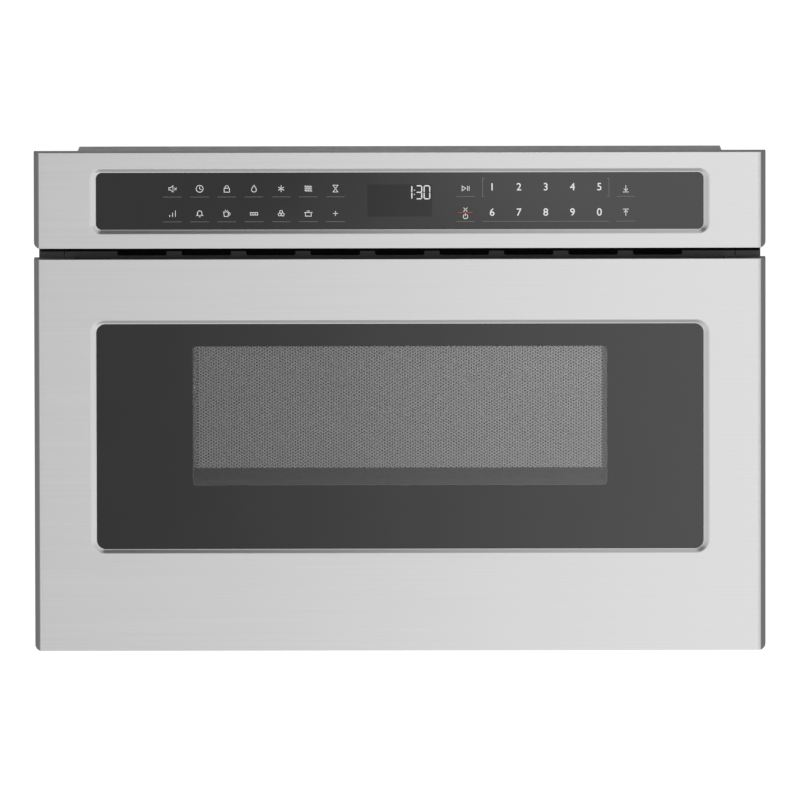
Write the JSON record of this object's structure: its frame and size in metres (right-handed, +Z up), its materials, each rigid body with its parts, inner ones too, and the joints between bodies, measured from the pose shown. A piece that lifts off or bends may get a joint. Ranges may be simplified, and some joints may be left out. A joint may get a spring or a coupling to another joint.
{
  "type": "microwave drawer",
  "caption": "Built-in microwave drawer: stainless front with a glass touch panel above a motor-driven drawer that slides out on telescopic rails and has a screened window.",
  "frame": {"origin": "centre of the underside of the chassis base plate", "axes": "+Z up; the drawer front and control panel face -Y, the way the drawer opens"},
  "size_m": [0.606, 0.594, 0.4134],
  "materials": {
    "stainless": "brushed",
    "black_glass": "gloss",
    "clear_glass": "gloss",
    "galvanised": "spangled zinc",
    "black_steel": "satin",
    "cavity_paint": "satin",
    "dark_plastic": "matt",
    "pale_plastic": "matt",
    "board_green": "satin",
    "rail_steel": "bright zinc",
    "copper": "enamelled wire",
    "core_steel": "varnished",
    "ceramic": "glazed",
    "mica": "satin"
  },
  "bodies": {
    "chassis": {"left_outer_rail": "rail_steel", "right_outer_rail": "rail_steel", "drawer_motor": "core_steel", "base_plate": "galvanised", "top_cover": "galvanised", "left_side_cover": "galvanised", "right_side_cover": "galvanised", "back_panel": "galvanised", "cord_gland": "dark_plastic", "front_bulkhead": "galvanised", "vent_grille": "black_steel", "left_mounting_flange": "galvanised", "right_mounting_flange": "galvanised", "cavity_floor": "cavity_paint", "cavity_ceiling": "cavity_paint", "cavity_back_wall": "cavity_paint", "left_cavity_wall": "cavity_paint", "right_cavity_wall": "cavity_paint", "stirrer_cover": "mica", "control_panel_skin": "stainless", "control_glass": "black_glass", "display_module": "dark_plastic", "control_board": "board_green", "control_housing": "dark_plastic", "waveguide": "galvanised", "stirrer_motor": "core_steel", "magnetron": "galvanised", "fan_housing": "dark_plastic", "fan_motor": "core_steel", "high_voltage_transformer": "copper", "high_voltage_capacitor": "rail_steel", "power_board": "board_green", "oven_lamp": "pale_plastic", "left_interlock_switch": "dark_plastic", "right_interlock_switch": "dark_plastic"},
    "drawer": {"drawer_front_skin": "stainless", "drawer_glass": "black_glass", "window_tunnel": "black_steel", "perforated_screen": "black_steel", "inner_pane": "clear_glass", "choke_panel": "cavity_paint", "drawer_front_frame": "dark_plastic", "tub_floor": "cavity_paint", "left_tub_wall": "cavity_paint", "right_tub_wall": "cavity_paint", "tub_back_wall": "cavity_paint", "ceramic_plate": "ceramic", "left_inner_rail": "rail_steel", "right_inner_rail": "rail_steel", "left_rail_bracket": "galvanised", "right_rail_bracket": "galvanised", "drive_rack": "pale_plastic", "left_latch_hook": "pale_plastic", "right_latch_hook": "pale_plastic"},
    "left_slide": {"left_middle_rail": "rail_steel"},
    "right_slide": {"right_middle_rail": "rail_steel"},
    "pinion": {"drive_pinion": "pale_plastic"},
    "fan": {"fan_wheel": "pale_plastic"},
    "stirrer": {"stirrer": "galvanised"}
  },
  "joints": [
    {"name": "drawer_slide", "type": "slide", "parent": "chassis", "child": "drawer", "axis": [0, -1, 0], "range_m": [0, 0.381]},
    {"name": "left_slide_run", "type": "slide", "parent": "chassis", "child": "left_slide", "axis": [0, -1, 0], "range_m": [0, 0.1905]},
    {"name": "right_slide_run", "type": "slide", "parent": "chassis", "child": "right_slide", "axis": [0, -1, 0], "range_m": [0, 0.1905]},
    {"name": "pinion_turn", "type": "hinge", "parent": "chassis", "child": "pinion", "pos_m": [0, -0.2425, 0.03], "axis": [1, 0, 0], "range_deg": [-5, 1100]},
    {"name": "fan_spin", "type": "hinge", "parent": "chassis", "child": "fan", "pos_m": [-0.14, 0.055, 0.3115], "axis": [0, 1, 0], "continuous": true},
    {"name": "stirrer_spin", "type": "hinge", "parent": "chassis", "child": "stirrer", "pos_m": [0, -0.0662, 0.28], "axis": [0, 0, 1], "continuous": true}
  ],
  "couplings": [
    {"joint": "left_slide_run", "follows": "drawer_slide", "ratio": 0.5},
    {"joint": "right_slide_run", "follows": "drawer_slide", "ratio": 0.5},
    {"joint": "pinion_turn", "follows": "drawer_slide", "rad_per_m": 50}
  ]
}
